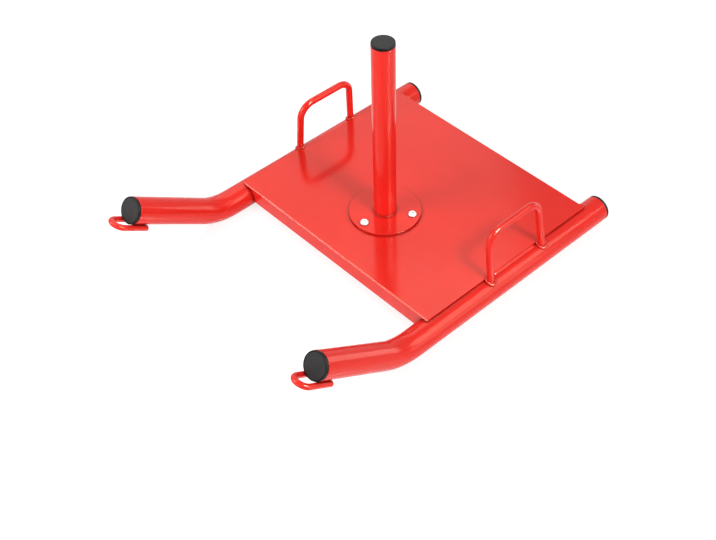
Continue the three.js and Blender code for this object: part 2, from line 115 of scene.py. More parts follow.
class PlugSettings(bpy.types.PropertyGroup):
    """Moulded plugs in the open tube ends"""

    head: length("Head", "Height of a runner plug's rim", 0.0055)
    post_head: length("Post head", "Height of the post plug's rim", 0.0062)
    crown: length("Crown", "How far the face swells above the rim", 0.0004)
    edge_radius: length("Edge radius", "Rounding of the head's rim", 0.0011)
    under_radius: length("Under radius", "Rounding where the head meets the tube", 0.0008)
    inset: length("Inset", "How much smaller the head is than the tube", 0.0004)
    rim: length("Rim", "Width of the polished rim round the grained face", 0.0036)
    stem: length("Stem", "Length of the stem inside the tube", 0.02)
    stem_wall: length("Stem wall", "Wall thickness of the hollow stem", 0.0024)
    rib_depth: length("Rib depth", "How far the ribs stand out from the stem", 0.0016)
    rib_pitch: length("Rib pitch", "Distance from rib to rib", 0.008)
    rib_start: share("Rib start", "Depth of the first rib, in rib pitches", 0.25)
    ribs: count("Ribs", "Ribs on one stem", 2)
    sides: count("Sides", "Faces round the plug", 72)


class DeckSettings(bpy.types.PropertyGroup):
    """Steel sheet on top of runners and crossbars"""

    corner_radius: length("Corner radius", "Rounding of the four corners", 0.004)
    chamfer: length("Chamfer", "Ground edge at the front and at the rear", 0.002)
    top_break: length("Top break", "Rounding of the upper edges at the sides", 0.0005)
    edge_break: length("Edge break", "Rounding of the lower edge", 0.0012)


class CrossbarSettings(bpy.types.PropertyGroup):
    """Square tubes between the runners"""

    wall: length("Wall", "Wall thickness of the tube", 0.0025)
    corner_radius: length("Corner radius", "Outside radius of the four edges", 0.004)


class PostSettings(bpy.types.PropertyGroup):
    """Upright tube for weight plates and its round foot plate"""

    diameter: length("Diameter", "Outside diameter of the tube", 0.05)
    wall: length("Wall", "Wall thickness of the tube", 0.003)
    edge_break: length("Edge break", "Rounding of tube end and foot plate", 0.0006)
    sides: count("Sides", "Faces round the tube", 96)
    foot_sides: count("Foot sides", "Faces round the foot plate", 160)


class ScrewSettings(bpy.types.PropertyGroup):
    """Button head screws with washers and nuts"""

    diameter: length("Diameter", "Thread diameter", 0.01)
    head_diameter: length("Head diameter", "Diameter of the domed head", 0.0182)
    head_height: length("Head height", "Height of the domed head", 0.0055)
    head_rim: length("Head rim", "Straight edge under the dome", 0.0012)
    socket_width: length("Socket width", "Across the flats of the hexagon", 0.0055)
    socket_depth: length("Socket depth", "Depth of the hexagon", 0.0018)
    thread_pitch: length("Thread pitch", "Distance from ridge to ridge", 0.0015)
    thread_depth: length("Thread depth", "Depth of the thread's grooves", 0.0008)
    bore_clearance: length("Bore clearance", "How much wider the bores are", 0.0005)
    washer_diameter: length("Washer diameter", "Outside diameter", 0.02)
    washer_thickness: length("Washer thickness", "Thickness of a washer", 0.002)
    nut_width: length("Nut width", "Across the flats of the nut", 0.016)
    nut_height: length("Nut height", "Height of the nut", 0.008)
    edge_break: length("Edge break", "Rounding of a screw's edges", 0.0002)
    nut_edge_break: length("Nut edge break", "Rounding of a nut's edges", 0.0003)
    sides: count("Sides", "Faces round a screw", 48)


class HandleSettings(bpy.types.PropertyGroup):
    """Bent rods beside the deck"""

    diameter: length("Diameter", "Diameter of the rod", 0.016)
    height: length("Height", "From the deck up to the top of the rod", 0.125)
    front_foot: length("Front foot", "From the post's axis back to the front leg", 0.014)
    span: length("Span", "Between the feet's centres", 0.16)
    rake: length("Rake", "How far the rear leg leans forward", 0.014)
    bend_radius: length("Bend radius", "Radius of the bends' centre lines", 0.034)
    lean: angle("Lean", "How far the handle leans over the deck", radians(6))
    sides: count("Sides", "Faces round the rod", 40)
    bend_steps: count("Bend steps", "Rings through a bend", 18)


class LoopSettings(bpy.types.PropertyGroup):
    """U-shaped rods under the tips"""

    diameter: length("Diameter", "Diameter of the rod", 0.013)
    width: length("Width", "Between the two branches' centres", 0.038)
    reach: length("Reach", "How far the loop stands out beyond the tip", 0.0385)
    overlap: length("Overlap", "How far the branches run under the tip", 0.039)
    end_radius: length("End radius", "Rounding of the branches' ends", 0.0005)
    sides: count("Sides", "Faces round the rod", 36)
    bend_steps: count("Bend steps", "Rings through a quarter of the bend", 16)


class WeldSettings(bpy.types.PropertyGroup):
    """Weld beads, painted over"""

    ripple_pitch: length("Ripple pitch", "Distance from ripple to ripple", 0.0026)
    ripple_depth: length("Ripple depth", "Height of a ripple", 0.00015)
    post_radius: length("Post bead", "Radius of the bead round the post", 0.001)
    collar_radius: length("Collar", "Radius of the beads round the handles' feet", 0.004)
    deck_radius: length("Deck bead", "Radius of the beads along the deck", 0.009)
    corner_radius: length("Corner bead", "Radius of the beads behind the deck", 0.0065)
    corner_length: length("Corner bead length", "Length of these beads", 0.016)
    loop_radius: length("Loop bead", "Radius of the beads on the tow loops", 0.003)
    sides: count("Sides", "Faces round a bead", 16)


class PaintSettings(bpy.types.PropertyGroup):
    """Glossy powder coat on the steel"""

    colour: colour("Colour", "Colour of the paint", (0.775, 0.0205, 0.015))
    cloud_size: length("Cloud size", "Size of the patches where the colour drifts", 0.14)
    drift: share("Drift", "How much the colour varies over the piece", 0.04)
    roughness: share("Roughness", "Blur of the reflections", 0.15)
    haze_size: length("Haze size", "Size of the patches where the blur varies", 0.03)
    haze: share("Haze", "How much the blur varies", 0.03)
    index: level("Index", "Refractive index, for the gloss's strength", 1.31)
    tint: colour("Tint", "Tone of the reflections", (1.0, 0.87, 0.68))
    peel_size: length("Peel size", "Size of the orange peel's waves", 0.0022)
    peel_height: length("Peel height", "Height of the orange peel's waves", 0.000006)
    # painted shade: the next two set how near and how much the paint's colour is darkened where
    # other faces are close
    painted_shade_reach: length("Crevice depth", "How near another face makes a crevice", 0.01)
    painted_shade_strength: share("Crevice shade", "How much darker the paint is in crevices", 0.6)


class PlasticSettings(bpy.types.PropertyGroup):
    """Moulded black plastic"""

    colour: colour("Colour", "Colour of the grained faces", (0.022, 0.022, 0.023))
    # painted shade: the rims' darker colour stands in for the dark they show by reflection; their
    # polish is real
    rim_painted_shade_colour: colour("Rim colour", "Colour of the polished rims", (0.004, 0.004, 0.005))
    cloud_size: length("Cloud size", "Size of the patches where the colour drifts", 0.012)
    drift: share("Drift", "How much the colour varies", 0.1)
    roughness: share("Roughness", "Blur of the grained faces' reflections", 0.5)
    rim_roughness: share("Rim roughness", "Blur of the rims' reflections", 0.4)
    haze: share("Haze", "How much the blur varies", 0.06)
    index: level("Index", "Refractive index, for the gloss's strength", 1.2)
    grain_size: length("Grain size", "Size of the mould's grain", 0.0008)
    grain_height: length("Grain height", "Height of the mould's grain", 0.00004)
    rim_grain: length("Rim grain", "Height of the grain left on the rims", 0.000002)


class ZincSettings(bpy.types.PropertyGroup):
    """Bright zinc plating"""

    colour: colour("Colour", "Colour of the plating", (0.72, 0.72, 0.7))
    cloud_size: length("Cloud size", "Size of the patches where the colour drifts", 0.004)
    drift: share("Drift", "How much the colour varies", 0.05)
    roughness: share("Roughness", "Blur of the reflections", 0.43)
    haze: share("Haze", "How much the blur varies", 0.06)
    metal: share("Metal", "How metallic the plating looks", 0.5)
    # painted shade: the next two darken the plating's colour near other faces, painting the dark
    # ring round the screw heads
    painted_shade_reach: length("Crevice depth", "How near another face darkens it", 0.005)
    painted_shade_strength: share("Crevice shade", "How much darker it is there", 0.6)
    grain_size: length("Grain size", "Size of the plating's grain", 0.0006)
    grain_height: length("Grain height", "Height of the plating's grain", 0.00001)


class StageSettings(bpy.types.PropertyGroup):
    """Floor, lamps and camera"""

    floor_size: length("Floor size", "Width of the floor", 30.0)
    floor_glow: level("Floor glow", "Light of its own that the camera sees", 0.8)
    floor_tone: share("Floor tone", "How much light the floor gives back", 0.65)
    seen_tone: share("Seen tone", "The same, where the camera sees it", 0.3)
    floor_gloss: share("Floor gloss", "How much the floor mirrors", 0.05)
    floor_blur: share("Floor blur", "Blur of what the floor mirrors", 0.1)
    world_light: level("World light", "Light from all sides", 0.27)
    azimuth: angle("Azimuth", "Camera's turn round the sled", radians(48.84))
    elevation: angle("Elevation", "Camera's height above the horizon", radians(45.36))
    roll: angle("Roll", "Camera's tilt about its own axis", radians(-2.05))
    distance: length("Distance", "From the camera to its aim", 2.65317)
    aim_height: length("Aim height", "Height of the aim on the post's axis", 0.0644)
    aim_left: length("Aim left", "How far the aim lies left of the post", 0.0642)
    aim_down: length("Aim down", "How far the aim lies below that point", 0.12638)
    focal: lens("Lens", "Focal length on a sensor 36 mm wide", 60.69)


GROUPS = {
    "sled_runner": RunnerSettings,
    "sled_plug": PlugSettings,
    "sled_deck": DeckSettings,
    "sled_crossbar": CrossbarSettings,
    "sled_post": PostSettings,
    "sled_screw": ScrewSettings,
    "sled_handle": HandleSettings,
    "sled_loop": LoopSettings,
    "sled_weld": WeldSettings,
    "sled_paint": PaintSettings,
    "sled_plastic": PlasticSettings,
    "sled_zinc": ZincSettings,
    "sled_stage": StageSettings,
}


def settings(group):
    return getattr(bpy.context.scene, "sled_" + group)


# Modelling by hand


def middle(node):
    low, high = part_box(node)
    return (low + high) / 2


def turn_to(heading):
    """The turn that points Z along a heading."""
    return heading.to_track_quat("Z", "Y")


def deselect():
    bpy.ops.object.select_all(action="DESELECT")


def select_mesh():
    bpy.ops.mesh.select_all(action="SELECT")


def edit(kind):
    bpy.ops.object.mode_set(mode="EDIT")
    bpy.ops.mesh.select_mode(type=kind)


def select(kind, test):
    """Selects in edit mode the vertices, edges or faces that pass a test."""
    mesh = bpy.context.object.data
    shape = bmesh.from_edit_mesh(mesh)
    for item in getattr(shape, kind):
        item.select = bool(test(item))
    shape.select_flush_mode()
    bmesh.update_edit_mesh(mesh)


def select_points(test):
    select("verts", lambda vertex: test(vertex.co))


def round_edges(offset, segments, test, height=None):
    """Bevels in edit mode the edges whose run passes a test, at one height or at any."""

    def passes(edge):
        first, second = (end.co for end in edge.verts)
        there = height is None or abs(first.z - height) < MERGE_DISTANCE
        return there and test(second - first)

    select("edges", passes)
    bpy.ops.mesh.bevel(offset=offset, segments=segments, affect="EDGES")


def add_ring(radius, sides, place, facing):
    """Adds a ring of vertices and enters edit mode with all of it selected."""
    deselect()
    bpy.ops.mesh.primitive_circle_add(
        vertices=sides, radius=radius, location=place, rotation=turn_to(facing).to_euler()
    )
    bpy.ops.object.transform_apply()
    edit("VERT")
    select_mesh()


def extrude(step):
    bpy.ops.mesh.extrude_region_move(TRANSFORM_OT_translate={"value": step})


def face_outwards():
    select_mesh()
    bpy.ops.mesh.normals_make_consistent(inside=False)


def close_mesh(fill=True):
    """Merges doubles, closes open ends, turns all faces outwards and leaves edit mode."""
    select_mesh()
    bpy.ops.mesh.remove_doubles(threshold=MERGE_DISTANCE)
    if fill:
        bpy.ops.mesh.fill_holes(sides=0)
    face_outwards()
    bpy.ops.object.mode_set(mode="OBJECT")
    return bpy.context.object


def only_select(piece):
    deselect()
    piece.select_set(True)
    bpy.context.view_layer.objects.active = piece


def discard(piece):
    bpy.data.meshes.remove(piece.data)


def apply_modifier(piece, kind, **values):
    only_select(piece)
    modifier = piece.modifiers.new(kind.title(), kind)
    for name, value in values.items():
        setattr(modifier, name, value)
    bpy.ops.object.modifier_apply(modifier=modifier.name)


def give_wall(piece, wall):
    """Gives a thin skin its wall, on the inner side."""
    apply_modifier(piece, "SOLIDIFY", thickness=wall, offset=-1.0, use_even_offset=True)


def soften_edges(piece, width, segments=3, least_angle=60):
    """Rounds every edge that is sharper than an angle in degrees."""
    apply_modifier(
        piece,
        "BEVEL",
        width=width,
        segments=segments,
        limit_method="ANGLE",
        angle_limit=radians(least_angle),
    )


def add_cylinder(radius, start, end, sides=TOOL_SIDES):
    """Adds a cylinder that runs from one point to another."""
    start, end = Vector(start), Vector(end)
    deselect()
    bpy.ops.mesh.primitive_cylinder_add(
        vertices=sides,
        radius=radius,
        depth=(end - start).length,
        location=(start + end) / 2,
        rotation=turn_to(end - start).to_euler(),
    )
    bpy.ops.object.transform_apply()
    return bpy.context.object


def add_box(low, high):
    """Adds a box between its lowest and its highest corner."""
    low, high = Vector(low), Vector(high)
    deselect()
    bpy.ops.mesh.primitive_cube_add(size=1, location=(low + high) / 2)
    bpy.context.object.scale = high - low
    bpy.ops.object.transform_apply()
    return bpy.context.object


def combine(piece, tools, operation="DIFFERENCE"):
    """Cuts a piece with tools, which are used up."""
    for tool in tools:
        apply_modifier(piece, "BOOLEAN", object=tool, operation=operation, solver="EXACT")
        discard(tool)


def bent_bar(corners, bend_radius, own):
    """Runs a ring along straight lines that are joined by bends, and stays in edit mode."""
    heading = (corners[1] - corners[0]).normalized()
    add_ring(own.diameter / 2, own.sides, corners[0], heading)
    here = corners[0]
    for corner, beyond in zip(corners[1:-1], corners[2:]):
        out = (beyond - corner).normalized()
        turn = heading.angle(out)
        axis = heading.cross(out).normalized()
        setback = bend_radius * math.tan(turn / 2)
        start = corner - heading * setback
        if (start - here).length > MERGE_DISTANCE:
            extrude(start - here)
        bpy.ops.mesh.spin(
            steps=own.bend_steps,
            angle=-turn,
            center=start + axis.cross(heading) * bend_radius,
            axis=axis,
        )
        here = corner + out * setback
        heading = out
    extrude(corners[-1] - here)


def turned(profile, sides):
    """Extrudes and resizes a ring about the Z axis along pairs of radius and height."""
    (radius, height), *steps = profile
    add_ring(radius, sides, (0, 0, height), UP)
    for next_radius, next_height in steps:
        extrude((0, 0, next_height - height))
        ratio = next_radius / radius
        bpy.ops.transform.resize(value=(ratio, ratio, 1), center_override=(0, 0, next_height))
        radius, height = next_radius, next_height


def close_pole(radius, height):
    """Draws the ring of a radius and height together into one point on the axis."""
    near = MERGE_DISTANCE * 5

    def on_ring(place):
        return (
            abs(place.z - height) < near and abs(math.hypot(place.x, place.y) - radius) < near
        )

    select_points(on_ring)
    extrude((0, 0, 0))
    bpy.ops.mesh.merge(type="CENTER")


def quarter(centre, height, radius, start, steps=6):
    """Points of a quarter circle in a turned profile, from an angle in quarters on."""
    turns = [math.pi / 2 * (start + i / steps) for i in range(steps + 1)]
    return [
        (centre + radius * math.cos(turn), height + radius * math.sin(turn)) for turn in turns
    ]


def put(piece, place, turn=Quaternion()):
    """Turns and moves a piece, which keeps its place in its mesh."""
    only_select(piece)
    piece.location = place
    piece.rotation_euler = turn.to_euler()
    bpy.ops.object.transform_apply()
    return piece


def copy_of(piece, place=(0, 0, 0), turn=Quaternion()):
    """A copy with its own mesh, put in place."""
    only_select(piece)
    bpy.ops.object.duplicate(linked=False)
    return put(bpy.context.object, place, turn)


def mirrored(piece):
    """A copy with its own mesh on the other side of the plane of symmetry."""
    copy = copy_of(piece)
    copy.scale.x = -1
    bpy.ops.object.transform_apply()
    bpy.ops.object.mode_set(mode="EDIT")
    face_outwards()
    bpy.ops.object.mode_set(mode="OBJECT")
    return copy


def finish_piece(piece, name, node, slot=PAINT, weigh=True):
    """Shades a piece, gives it its finish and lets it stand for its node."""
    piece.name = name
    piece.data.name = name
    only_select(piece)
    bpy.ops.object.shade_smooth_by_angle(angle=SMOOTH_ANGLE)
    if weigh:
        apply_modifier(piece, "WEIGHTED_NORMAL", keep_sharp=True, weight=100)
    if not piece.data.materials:
        piece.data.materials.append(finish(slot))
    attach(piece, BODY)
    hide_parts(node)


def finish_pair(right, name, node, slot=PAINT, weigh=True):
    """Finishes a piece of the right side and its mirror image on the left."""
    for piece, side in zip((right, mirrored(right)), SIDES):
        finish_piece(piece, f"{side}_{name}", f"{side}_{node}", slot, weigh)


# Finishes

NODES_IN_ROW = 6
NODE_WIDTH, NODE_HEIGHT = 220, 320
# Where nearly all of a noise pattern's values lie, and the openness of a crevice over which its
# painted shade fades out
NOISE_RANGE = (0.3, 0.7)
PAINTED_SHADE_RANGE = (0.4, 1.0)


def fill_in(tree, node, **values):
    """Sets a node's inputs, links those that get another node's output, and sets the rest."""
    for name, value in values.items():
        socket = node.inputs.get(name.replace("_", " "))
        if socket is None:
            setattr(node, name, value)
        elif isinstance(value, bpy.types.NodeSocket):
            tree.links.new(value, socket)
        else:
            socket.default_value = value


def add_node(tree, kind, **values):
    node = tree.nodes.new(kind)
    row, column = divmod(len(tree.nodes), NODES_IN_ROW)
    node.location = (-NODE_WIDTH * (column + 1), -NODE_HEIGHT * row)
    fill_in(tree, node, **values)
    return node


def join(tree, kind, first, second, **values):
    """What a node with two like inputs makes of two outputs."""
    node = add_node(tree, kind, **values)
    tree.links.new(first, node.inputs[0])
    tree.links.new(second, node.inputs[1])
    return node.outputs[0]


def noise(tree, size, detail=2.0, roughness=0.5):
    """A noise pattern in the piece's own coordinates whose lumps have a given size."""
    pattern = add_node(
        tree,
        "ShaderNodeTexNoise",
        Vector=add_node(tree, "ShaderNodeTexCoord").outputs["Object"],
        Scale=1 / size,
        Detail=detail,
        Roughness=roughness,
    )
    return pattern.outputs["Fac"]


def spread(tree, source, low, high, usual=(0.0, 1.0)):
    """Spreads a pattern's usual values between two numbers."""
    ranged = add_node(
        tree,
        "ShaderNodeMapRange",
        Value=source,
        From_Min=usual[0],
        From_Max=usual[1],
        To_Min=low,
        To_Max=high,
    )
    return ranged.outputs["Result"]


def blurred(tree, source, roughness, haze):
    """A roughness that varies with a pattern."""
    return spread(tree, source, roughness - haze, roughness + haze, NOISE_RANGE)


def drifting(tree, own, tone):
    """A colour that gets a little darker and lighter over the piece."""
    clouds = noise(tree, own.cloud_size, detail=3.0)
    ramp = add_node(tree, "ShaderNodeValToRGB", Fac=clouds)
    factors = (1 - own.drift, 1 + own.drift)
    for element, place, factor in zip(ramp.color_ramp.elements, NOISE_RANGE, factors):
        element.position = place
        element.color = (*(min(1.0, part * factor) for part in tone), 1.0)
    return ramp.outputs["Color"]


def painted_shade_in_crevices(tree, own, tone):
    """A colour painted darker where another face is near: painted shade in crevices and gaps."""
    near = add_node(tree, "ShaderNodeAmbientOcclusion", Distance=own.painted_shade_reach, samples=8)
    bright = spread(tree, near.outputs["AO"], 1 - own.painted_shade_strength, 1.0, PAINTED_SHADE_RANGE)
    return add_node(tree, "ShaderNodeHueSaturation", Value=bright, Color=tone).outputs["Color"]


def raised(tree, source, height):
    """The normal of a surface whose pattern stands up by a height in metres."""
    bump = add_node(tree, "ShaderNodeBump", Height=source, Strength=1.0, Distance=height)
    return bump.outputs["Normal"]


def red_paint(tree, shader):
    own = settings("paint")
    fill_in(
        tree,
        shader,
        IOR=own.index,
        Specular_Tint=(*own.tint, 1.0),
        # the base colour is darkened near other faces: painted shade in crevices
        Base_Color=painted_shade_in_crevices(tree, own, drifting(tree, own, own.colour)),
        Roughness=blurred(tree, noise(tree, own.haze_size), own.roughness, own.haze),
        Normal=raised(tree, noise(tree, own.peel_size, detail=1.0), own.peel_height),
    )


def moulded(tree, shader, tone, roughness, grain_height):
    """Black plastic with a mould's grain of a given height."""
    own = settings("plastic")
    grain = noise(tree, own.grain_size, detail=3.0, roughness=0.6)
    fill_in(
        tree,
        shader,
        IOR=own.index,
        Base_Color=drifting(tree, own, tone),
        Roughness=blurred(tree, grain, roughness, own.haze),
        Normal=raised(tree, grain, grain_height),
    )


def grained_plastic(tree, shader):
    own = settings("plastic")
    moulded(tree, shader, own.colour, own.roughness, own.grain_height)


def polished_plastic(tree, shader):
    own = settings("plastic")
    # the rims' darker colour is painted shade on the same plastic; their lower roughness is real
    moulded(tree, shader, own.rim_painted_shade_colour, own.rim_roughness, own.rim_grain)


def zinc_plating(tree, shader):
    own = settings("zinc")
    grain = noise(tree, own.grain_size)
    fill_in(
        tree,
        shader,
        Metallic=own.metal,
        # the base colour is darkened near other faces: painted shade round the screw heads
        Base_Color=painted_shade_in_crevices(tree, own, drifting(tree, own, own.colour)),
        Roughness=blurred(tree, grain, own.roughness, own.haze),
        Normal=raised(tree, grain, own.grain_height),
    )


FINISHES = {
    PAINT: ("glossy_red_powder_coat", red_paint),
    PLASTIC: ("grained_black_plastic", grained_plastic),
    POLISHED: ("polished_black_plastic", polished_plastic),
    ZINC: ("bright_zinc_plating", zinc_plating),
}


def finish(kind):
    """A finish's material, made when it is first asked for."""
    name, make = FINISHES[kind]
    if name not in bpy.data.materials:
        material = bpy.data.materials.new(name)
        material.use_nodes = True
        make(material.node_tree, material.node_tree.nodes["Principled BSDF"])
    return bpy.data.materials[name]


# Shared places


def post_axis():
    place = middle("post_tube")
    return Vector((place.x, place.y, 0))


def tube_end(plug_end, head):
    """Where a tube ends whose plug reaches to a given coordinate."""
    return plug_end - head - settings("plug").crown - SEAT_GAP


def post_top():
    return tube_end(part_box("post_cap")[1].z, settings("plug").post_head)


def runner_centre():
    """The point of the right runner's straight centre line beside the post."""
    own = settings("runner")
    return post_axis() + Vector((own.spacing / 2, 0, own.diameter / 2))


def tip_heading():
    own = settings("runner")
    return Vector((0, -math.cos(own.tip_angle), math.sin(own.tip_angle)))


def tip_down():
    """Square to the right tip's heading, towards the floor."""
    return ALONG_X.cross(tip_heading())


def runner_corners():
    """Rear end, corner of the bend and tip end of the right runner's centre line."""
    own = settings("runner")
    centre = runner_centre()
    setback = own.bend_radius * math.tan(own.tip_angle / 2)
    rear_end = tube_end(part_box("right_rear_cap")[1].y, settings("plug").head)
    rear = Vector((centre.x, rear_end, centre.z))
    corner = centre - ALONG_Y * (own.bend_start + setback)
    tip = corner + tip_heading() * (setback + own.tip_length)
    return rear, corner, tip


def runner_tool(gap=SEAT_GAP):
    """A cylinder a little wider than the right runner's straight part."""
    rear, corner, _ = runner_corners()
    radius = settings("runner").diameter / 2 + gap
    return add_cylinder(radius, rear + ALONG_Y * TOOL_MARGIN, corner)


def deck_tool(front, rear, margin):
    """A box that holds the deck's right edge and all under it, from front to rear."""
    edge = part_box("deck_plate")[1]
    return add_box(
        (edge.x - margin, front - margin, 0),
        (edge.x + SNUG_GAP, rear + margin, edge.z + SNUG_GAP),
    )


def screw_places():
    return [middle(f"flange_washer_{i}") for i in (1, 2, 3)]


def hole_tools(node):
    """Cylinders through a plate at the three screws."""
    own = settings("screw")
    low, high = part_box(node)
    radius = (own.diameter + own.bore_clearance) / 2
    bottom = low.z - own.head_height
    top = high.z + own.head_height
    return [
        add_cylinder(radius, (place.x, place.y, bottom), (place.x, place.y, top), own.sides)
        for place in screw_places()
    ]


def handle_corners():
    """Feet and upper corners of the right handle's centre line."""
    own = settings("handle")
    deck_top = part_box("deck_plate")[1].z
    centre = runner_centre()
    slope = math.tan(own.lean)
    half_width = own.diameter / 2 / math.cos(own.lean)
    set_out = SEAT_GAP + half_width + (deck_top - centre.z) * slope
    root = centre.z + settings("runner").diameter / 4
    top = deck_top + own.height - own.diameter / 2
    rear = own.front_foot + own.span
    places = ((own.front_foot, root), (own.front_foot, top), (rear - own.rake, top), (rear, root))
    return [
        Vector((centre.x + set_out - (z - centre.z) * slope, centre.y + y, z)) for y, z in places
    ]


def loop_branches():
    """How far the loops' branches lie beside the tip's axis and below it."""
    own = settings("loop")
    reach = (settings("runner").diameter + own.diameter) / 2 + SEAT_GAP
    half = own.width / 2
    return half, math.sqrt(reach**2 - half**2)


# Weld beads

RIPPLE_STATIONS = 4
# Which of a ripple's four rings swell, and how much
SWELLS = ((0, 1.0), (1, 0.5), (3, 0.5))
# How far into its first step a bead's rounded end begins
END_SHIFT = 0.15
# Where the beads' middles lie, in radii: off post and plate, inside the deck's edge, behind
# the deck and below its top, and beside the line where a loop meets its tip
POST_OFFSET, DECK_INSET = 0.3, 0.28
CORNER_OFFSET, CORNER_DROP = 0.15, 1.25
LOOP_OFFSET = 1.1


def ripple(station_of):
    """Swells every fourth ring of a bead the most and the ones beside it half as much."""
    depth = settings("weld").ripple_depth
    for phase, swell in SWELLS:
        select_points(lambda place, n=phase: round(station_of(place)) % RIPPLE_STATIONS == n)
        bpy.ops.transform.shrink_fatten(value=depth * swell)


def ring_bead(radius, ring_radius):
    """A rippled ring of weld about the Z axis, still in edit mode."""
    own = settings("weld")
    ripples = round(2 * math.pi * ring_radius / own.ripple_pitch)
    stations = ripples * RIPPLE_STATIONS
    add_ring(radius, own.sides, (ring_radius, 0, 0), ALONG_Y)
    bpy.ops.mesh.spin(steps=stations, angle=2 * math.pi, center=(0, 0, 0), axis=UP)
    select_mesh()
    bpy.ops.mesh.remove_doubles(threshold=MERGE_DISTANCE)
    face_outwards()
    turn = 2 * math.pi / stations
    ripple(lambda place: math.atan2(place.y, place.x) / turn)


def straight_bead(radius, start, end):
    """A rippled rope of weld with rounded ends, still in edit mode."""
    own = settings("weld")
    start, end = Vector(start), Vector(end)
    heading = (end - start).normalized()
    step = own.ripple_pitch / RIPPLE_STATIONS
    stations = round((end - start).length / step)
    add_ring(radius, own.sides, start, heading)
    bpy.ops.mesh.extrude_repeat(steps=stations, offset=heading * step)
    face_outwards()

    def station_of(place):
        return (place - start).dot(heading) / step

    ripple(station_of)
    rounded = round(radius / step)
    for i in range(rounded):
        ratio = math.sqrt(1 - (1 - (i + END_SHIFT) / rounded) ** 2)
        for station in (i, stations - i):
            select_points(lambda place, n=station: round(station_of(place)) == n)
            bpy.ops.transform.resize(
                value=(ratio, ratio, ratio), center_override=start + heading * step * station
            )


def flatten(test, plane, axis):
    """Presses the vertices that pass a test flat against a plane across an axis."""
    select_points(test)
    scale = [1.0, 1.0, 1.0]
    centre = [0.0, 0.0, 0.0]
    scale[axis] = 0.0
    centre[axis] = plane
    bpy.ops.transform.resize(value=scale, center_override=centre)


# Operators


class Making:
    """What the operators have in common"""

    bl_options = {"REGISTER", "UNDO"}


class SLED_OT_runners(Making, bpy.types.Operator):
    """Bends two round tubes into runners"""

    bl_idname = "sled.make_runners"
    bl_label = "Runners"

    def execute(self, context):
        own = settings("runner")
        bent_bar(runner_corners(), own.bend_radius, own)
        tube = close_mesh(fill=False)
        give_wall(tube, own.wall)
        soften_edges(tube, own.edge_break)
        finish_pair(tube, "runner_tube", "runner")
        return {"FINISHED"}


class SLED_OT_plugs(Making, bpy.types.Operator):
    """Turns the plastic plugs of the runners and of the post"""

    bl_idname = "sled.make_plugs"
    bl_label = "Plugs"

    def execute(self, context):
        runner, post = settings("runner"), settings("post")
        own = settings("plug")
        first = self.plug(runner, own.head)
        rear, _, tip = runner_corners()
        for end, place, facing in (("rear", rear, ALONG_Y), ("front", tip, tip_heading())):
            right = copy_of(first, place + facing * SEAT_GAP, turn_to(facing))
            finish_pair(right, f"{end}_plug", f"{end}_cap", PLASTIC)
        discard(first)
        piece = put(self.plug(post, own.post_head), post_axis() + UP * (post_top() + SEAT_GAP))
        finish_piece(piece, "post_plug", "post_cap", PLASTIC)
        return {"FINISHED"}

    @staticmethod
    def plug(tube, head, crown_steps=8):
        """A cup shaped plug that faces +Z, with the tube's end at height zero."""
        own = settings("plug")
        rim_radius = tube.diameter / 2 - own.inset
        face_radius = rim_radius - own.rim
        rib_radius = tube.diameter / 2 - tube.wall - SEAT_GAP
        stem_radius = rib_radius - own.rib_depth
        hollow_radius = stem_radius - own.stem_wall
        profile = [(hollow_radius, 0.0), (hollow_radius, -own.stem), (stem_radius, -own.stem)]
        for i in reversed(range(own.ribs)):
            top = -own.rib_pitch * (i + own.rib_start)
            profile.append((stem_radius, top - own.rib_pitch / 2))
            profile += [(rib_radius, top), (stem_radius, top)]
        profile.append((stem_radius, 0.0))
        under, edge = own.under_radius, own.edge_radius
        profile += quarter(rim_radius - under, under, under, -1)
        profile += quarter(rim_radius - edge, head - edge, edge, 0)
        profile.append((face_radius, head))
        for i in range(1, crown_steps):
            ratio = 1 - i / crown_steps
            profile.append((face_radius * ratio, head + own.crown * (1 - ratio**2)))
        turned(profile, own.sides)
        close_pole(*profile[-1])
        close_pole(*profile[0])
        piece = close_mesh(fill=False)
        # the rims take the polished plastic, whose darker colour is painted shade; the face takes
        # the grained one
        piece.data.materials.append(finish(POLISHED))
        piece.data.materials.append(finish(PLASTIC))
        for polygon in piece.data.polygons:
            out = math.hypot(polygon.center.x, polygon.center.y)
            if polygon.center.z >= head and out < face_radius:
                polygon.material_index = 1
        return piece


class SLED_OT_deck(Making, bpy.types.Operator):
    """Cuts the deck's sheet, with rounded corners and three bores"""

    bl_idname = "sled.make_deck"
    bl_label = "Deck"

    def execute(self, context):
        own = settings("deck")
        low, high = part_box("deck_plate")
        add_box(low, high)
        edit("EDGE")
        round_edges(own.chamfer, 1, lambda run: abs(run.x) > abs(run.y), high.z)
        round_edges(own.corner_radius, 8, lambda run: abs(run.z) > 2 * run.xy.length)
        round_edges(own.top_break, 4, lambda run: abs(run.y) > abs(run.x) + abs(run.z), high.z)
        round_edges(own.edge_break, 4, lambda run: abs(run.z) < MERGE_DISTANCE, low.z)
        sheet = close_mesh()
        combine(sheet, hole_tools("deck_plate"))
        finish_piece(sheet, "deck_sheet", "deck_plate")
        return {"FINISHED"}


class SLED_OT_crossbars(Making, bpy.types.Operator):
    """Makes the square tubes whose ends fit round the runners"""

    bl_idname = "sled.make_crossbars"
    bl_label = "Crossbars"

    def execute(self, context):
        own = settings("crossbar")
        add_box(*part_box("front_crossbar"))
        edit("FACE")
        select("faces", lambda face: abs(face.normal.x) > 0.5)
        bpy.ops.mesh.delete(type="ONLY_FACE")
        bpy.ops.mesh.select_mode(type="EDGE")
        round_edges(own.corner_radius, 6, lambda run: abs(run.x) > run.yz.length)
        bar = close_mesh(fill=False)
        give_wall(bar, own.wall)
        right = runner_tool()
        combine(bar, (right, mirrored(right)))
        for name in ("front", "mid", "rear"):
            shift = middle(f"{name}_crossbar") - middle("front_crossbar")
            finish_piece(copy_of(bar, shift), f"{name}_square_tube", f"{name}_crossbar")
        discard(bar)
        return {"FINISHED"}


